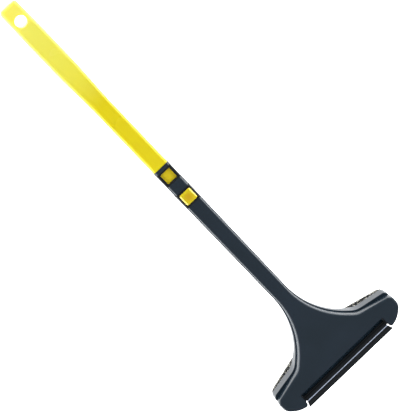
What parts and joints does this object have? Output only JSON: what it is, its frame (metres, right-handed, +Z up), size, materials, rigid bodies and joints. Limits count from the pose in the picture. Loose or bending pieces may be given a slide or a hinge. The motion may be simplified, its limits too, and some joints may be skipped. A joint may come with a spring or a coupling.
{
  "type": "window scrubber",
  "caption": "Window scrubber with a net-covered sponge head, a rubber blade in a rail, and a plug-in handle with a release button and hang hole.",
  "frame": {"origin": "middle of the tool's length and width, on the floor it lies on", "axes": "+Y along the tool from the blade to the hang hole, +X across the head, +Z up from the sponge to the top shell"},
  "size_m": [0.1888, 0.595, 0.0434],
  "materials": {
    "shell_plastic": "satin gloss moulded plastic",
    "frame_plastic": "matte moulded plastic",
    "rail_plastic": "satin extruded plastic",
    "handle_plastic": "glossy moulded plastic",
    "button_plastic": "glossy moulded plastic",
    "blade_rubber": "matte rubber",
    "pad_plastic": "matte moulded plastic",
    "foam": "open-cell foam",
    "net_yarn": "knitted plastic yarn",
    "steel": "zinc-plated steel"
  },
  "bodies": {
    "head_unit": {"front_shell": "shell_plastic", "rear_shell": "shell_plastic", "neck_screws": "steel", "head_screws": "steel", "window_frame": "frame_plastic", "button_frame": "frame_plastic", "button_springs": "steel", "latch_plate": "steel", "blade_rail": "rail_plastic", "rail_screws": "steel", "squeegee_blade": "blade_rubber", "pad_plate": "pad_plastic", "sponge": "foam", "scrub_net": "net_yarn", "net_hem": "net_yarn"},
    "button": {"release_button": "button_plastic"},
    "handle_unit": {"grip_front": "handle_plastic", "grip_rear": "handle_plastic", "grip_screws": "steel", "stem": "handle_plastic", "stem_pins": "steel", "catch_spring": "steel", "catch_rivets": "steel"}
  },
  "joints": [
    {"name": "button_press", "type": "slide", "parent": "head_unit", "child": "button", "axis": [0, -0.0484, -0.9988], "range_m": [0, 0.0024], "stiffness_N_per_m": 900, "springref_m": -0.0005, "deforming": ["button_springs", "catch_spring"]},
    {"name": "handle_pull", "type": "slide", "parent": "head_unit", "child": "handle_unit", "axis": [0, 0.9988, -0.0484], "range_m": [0, 0.085], "deforming": ["catch_spring"]}
  ]
}
